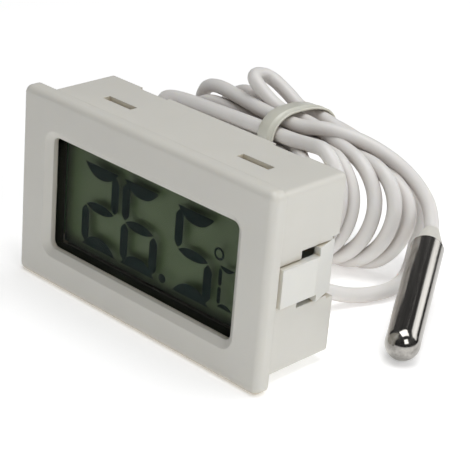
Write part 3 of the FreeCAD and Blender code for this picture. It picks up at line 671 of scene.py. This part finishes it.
def seeThrough(name, colour, roughness, density, cloudSize=300.0):
    # clear glass that lets lamp light straight through; its roughness is roughness * cloud
    material = bpy.data.materials.new(name)
    material.use_nodes = True
    tree = material.node_tree
    shade, out = tree.nodes["Principled BSDF"], tree.nodes["Material Output"]
    shade.inputs["Base Color"].default_value = (*colour, 1)
    shade.inputs["Transmission Weight"].default_value = 1.0
    shade.inputs["IOR"].default_value = density
    cloud = addNode(tree, "ShaderNodeTexNoise", Scale=cloudSize)
    place = tree.nodes.new("ShaderNodeTexCoord")
    tree.links.new(place.outputs["Object"], cloud.inputs["Vector"])
    uneven = combine(tree, "MULTIPLY", cloud.outputs["Fac"], roughness)
    tree.links.new(uneven, shade.inputs["Roughness"])
    clear = tree.nodes.new("ShaderNodeBsdfTransparent")
    clear.inputs[0].default_value = (*colour, 1)
    path = tree.nodes.new("ShaderNodeLightPath")
    mix = tree.nodes.new("ShaderNodeMixShader")
    tree.links.new(path.outputs["Is Shadow Ray"], mix.inputs[0])
    tree.links.new(shade.outputs[0], mix.inputs[1])
    tree.links.new(clear.outputs[0], mix.inputs[2])
    tree.links.new(mix.outputs[0], out.inputs["Surface"])
    return material


ivory = (0.685, 0.672, 0.620)
# warm brown painted into the creases of the ivory parts as shade
warmCreaseShade = (0.50, 0.40, 0.24)
# every crease colour below is painted shade, mixed in where ambient occlusion finds creases hidden
finishes = {
    "shell": finish("ivoryShell", ivory, subsurface=0.12, roughness=0.36, crease=warmCreaseShade,
                    reach=0.0011, strength=0.75, drift=0.035, grain=3800.0, grainDepth=0.000012,
                    edge=0.00022),
    "clip": finish("ivoryClip", (0.77, 0.765, 0.72), subsurface=0.12, roughness=0.34,
                   crease=warmCreaseShade, reach=0.0009, strength=0.8, drift=0.03, grain=3800.0,
                   grainDepth=0.00001, edge=0.0002),
    "cover": finish("ivoryCover", (0.75, 0.74, 0.69), subsurface=0.1, roughness=0.42,
                    crease=warmCreaseShade, reach=0.001, strength=0.7, drift=0.035, grain=3000.0,
                    grainDepth=0.00002, edge=0.00018),
    "door": finish("ivoryDoor", (0.745, 0.735, 0.68), subsurface=0.1, roughness=0.44,
                   crease=warmCreaseShade, reach=0.0008, strength=0.7, drift=0.03, grain=3000.0,
                   grainDepth=0.00002, edge=0.00018),
    "cord": finish("softCord", (0.80, 0.785, 0.765), subsurface=0.15, roughness=0.40,
                   crease=(0.33, 0.26, 0.22), reach=0.0035, strength=0.55, drift=0.05, cloud=90.0,
                   grain=2500.0, grainDepth=0.00001, edge=0.0),
    "tie": finish("tieSkin", (0.74, 0.735, 0.645), coat=0.2, subsurface=0.08, roughness=0.33,
                  crease=(0.36, 0.30, 0.18), reach=0.002, strength=0.6, drift=0.04, cloud=200.0,
                  grain=4000.0, grainDepth=0.000012, edge=0.0),
    "seal": finish("paleSealant", (0.70, 0.685, 0.63), subsurface=0.1, roughness=0.5,
                   crease=warmCreaseShade, reach=0.0012, strength=0.5, drift=0.08, cloud=500.0,
                   grain=1500.0, grainDepth=0.00005, edge=0.0003),
    "steel": finish("polishedSteel", (0.40, 0.385, 0.36), metallic=1.0, roughness=0.12,
                    crease=(0.2, 0.19, 0.17), reach=0.001, strength=0.5, drift=0.05, cloud=60.0,
                    grain=9000.0, grainDepth=0.000002, edge=0.00012),
    "cell": finish("cellSteel", (0.62, 0.61, 0.60), metallic=1.0, roughness=0.28, drift=0.06,
                   grain=6000.0, grainDepth=0.000004, edge=0.00025),
    "nickel": finish("nickelStrip", (0.66, 0.63, 0.58), metallic=1.0, roughness=0.25, drift=0.08,
                     grain=5000.0, grainDepth=0.000004, edge=0.00008),
    "screw": finish("zincScrew", (0.58, 0.58, 0.57), metallic=1.0, roughness=0.32, drift=0.08,
                    edge=0.0001),
    "board": finish("solderMask", (0.03, 0.16, 0.055), coat=0.3, roughness=0.35, drift=0.12,
                    cloud=400.0, grain=1800.0, grainDepth=0.00002, edge=0.00008),
    "resin": finish("blackResin", (0.012, 0.012, 0.012), coat=0.4, roughness=0.22, drift=0.2,
                    cloud=500.0, grain=900.0, grainDepth=0.00004, edge=0.0002),
    "black": finish("chipBlack", (0.02, 0.02, 0.022), roughness=0.5, drift=0.2, edge=0.00006),
    "tan": finish("chipTan", (0.42, 0.29, 0.17), roughness=0.45, drift=0.15, edge=0.00006),
    # the zebra strips' rubber colour, darkened to paint the shade in the band below the display
    "rubber": finish("zebraRubberShade", (0.07, 0.065, 0.065), roughness=0.6, drift=0.15,
                     cloud=2500.0, edge=0.0001),
    "red": finish("coreRed", (0.55, 0.06, 0.04), roughness=0.42, drift=0.06, edge=0.0),
    "potting": finish("pottingResin", (0.05, 0.05, 0.055), roughness=0.55, drift=0.2, edge=0.0),
    "backing": finish("displayBacking", (0.095, 0.135, 0.062), roughness=0.55, drift=0.10,
                      cloud=45.0, grain=4000.0, grainDepth=0.00001, strength=0.0, edge=0.0),
    "segment": finish("segmentInk", (0.004, 0.013, 0.013), specular=0.1, roughness=0.6,
                      drift=0.3, cloud=200.0, strength=0.0, edge=0.0),
    # the edge seal's near-black is painted shade of the dark band round the display
    "edge": finish("edgeSealShade", (0.014, 0.015, 0.011), specular=0.2, roughness=0.6, drift=0.2,
                   cloud=300.0, strength=0.0, edge=0.0),
    "glass": seeThrough("displayGlass", (0.97, 0.985, 0.96), 0.02, 1.12),
    "film": seeThrough("displayFilm", (0.96, 0.97, 0.94), 0.05, 1.02),
}
wear = {
    "front_housing": "shell", "rear_cover": "cover", "battery_door": "door",
    "panel_clip_left": "clip", "panel_clip_right": "clip", "cord_collar": "clip",
    "lcd_front_film": "film", "lcd_reflector": "backing",
    "zebra_strip_upper": "rubber", "zebra_strip_lower": "rubber",
    "circuit_board": "board", "board_screws": "screw", "chip_blob": "resin",
    "chip_resistors": "black", "chip_capacitors": "tan", "sensor_wires": "red",
    "bridge_contact": "nickel", "positive_contact": "nickel", "negative_contact": "nickel",
    "button_cell_1": "cell", "button_cell_2": "cell",
    "probe_sleeve": "steel", "probe_seal": "seal", "probe_filler": "potting",
    "thermistor_bead": "resin", "thermistor_leads": "nickel",
}


def scaleBaseColour(tree, amount):
    base = tree.nodes["Principled BSDF"].inputs["Base Color"]
    tree.links.new(scaled(tree, base.links[0].from_socket, amount), base)


streaks = {
    "axis": (0.488, -0.835, -0.253),  # the tube's direction
    "width": 0.0011, "along": 0.03, "detail": 4.0, "rough": 0.7,
    "from": 0.35, "to": 0.65, "dark": 0.62, "light": 1.15,
    "scuffFrom": 0.4, "scuff": 0.35,
}


def drawStreaks(material):
    # noise squeezed along the tube: place - axis * (place . axis) * (1 - along)
    tree = material.node_tree
    shade = tree.nodes["Principled BSDF"]
    place = tree.nodes.new("ShaderNodeTexCoord")
    dot = addNode(tree, "ShaderNodeVectorMath", operation="DOT_PRODUCT")
    fill(tree, dot.inputs, (place.outputs["Object"], streaks["axis"]))
    share = combine(tree, "MULTIPLY", dot.outputs["Value"], 1 - streaks["along"])
    left = addNode(tree, "ShaderNodeVectorMath", operation="SUBTRACT")
    fill(tree, left.inputs, (place.outputs["Object"], scaled(tree, streaks["axis"], share)))
    noise = addNode(tree, "ShaderNodeTexNoise", Scale=1 / streaks["width"],
                    Detail=streaks["detail"], Roughness=streaks["rough"])
    tree.links.new(left.outputs[0], noise.inputs["Vector"])
    ramp = tree.nodes.new("ShaderNodeMapRange")
    tree.links.new(noise.outputs["Fac"], ramp.inputs["Value"])
    limits = [ramp.inputs[end] for end in ("From Min", "From Max", "To Min", "To Max")]
    fill(tree, limits, [streaks[key] for key in ("from", "to", "dark", "light")])
    scaleBaseColour(tree, ramp.outputs[0])
    above = combine(tree, "SUBTRACT", noise.outputs["Fac"], streaks["scuffFrom"])
    scuff = combine(tree, "MAXIMUM", combine(tree, "MULTIPLY", above, streaks["scuff"]), 0.0)
    rough = shade.inputs["Roughness"].links[0].from_socket
    tree.links.new(combine(tree, "ADD", rough, scuff), shade.inputs["Roughness"])


drawStreaks(finishes["steel"])

# painted shade at the backing's left and lower edges: where it starts, how far it reaches, its
# darkest share
backingShade = {"left": -18.6, "foot": 5.4, "reach": 3.0, "least": 0.12}


def shadeEdges(material):
    # painted shade: the backing darkens towards its left and lower edges, where the bezel's shadow
    # falls
    tree = material.node_tree
    place = tree.nodes.new("ShaderNodeTexCoord")
    parts = tree.nodes.new("ShaderNodeSeparateXYZ")
    tree.links.new(place.outputs["Object"], parts.inputs[0])
    shares = []
    for axis, start in (("X", backingShade["left"]), ("Z", backingShade["foot"])):
        step = addNode(tree, "ShaderNodeMapRange", interpolation_type="SMOOTHSTEP")
        step.inputs["From Min"].default_value = start * mm
        step.inputs["From Max"].default_value = (start + backingShade["reach"]) * mm
        step.inputs["To Min"].default_value = backingShade["least"]
        tree.links.new(parts.outputs[axis], step.inputs["Value"])
        shares.append(step.outputs[0])
    scaleBaseColour(tree, combine(tree, "MULTIPLY", *shares))


shadeEdges(finishes["backing"])


def dress(thing, material):
    if not thing.material_slots:
        thing.data.materials.append(material)
    for slot in thing.material_slots:
        slot.material = material


for name, word in wear.items():
    dress(nodes[name], finishes[word])
dress(cordPiece, finishes["cord"])
dress(tieBand, finishes["tie"])
dress(tieTwist, finishes["tie"])
dress(digits, finishes["segment"])
dress(glassBlock, finishes["glass"])
dress(sealShadeWall, finishes["edge"])
print("finishes given to", len(wear) + 6, "pieces")

bpy.context.view_layer.update()
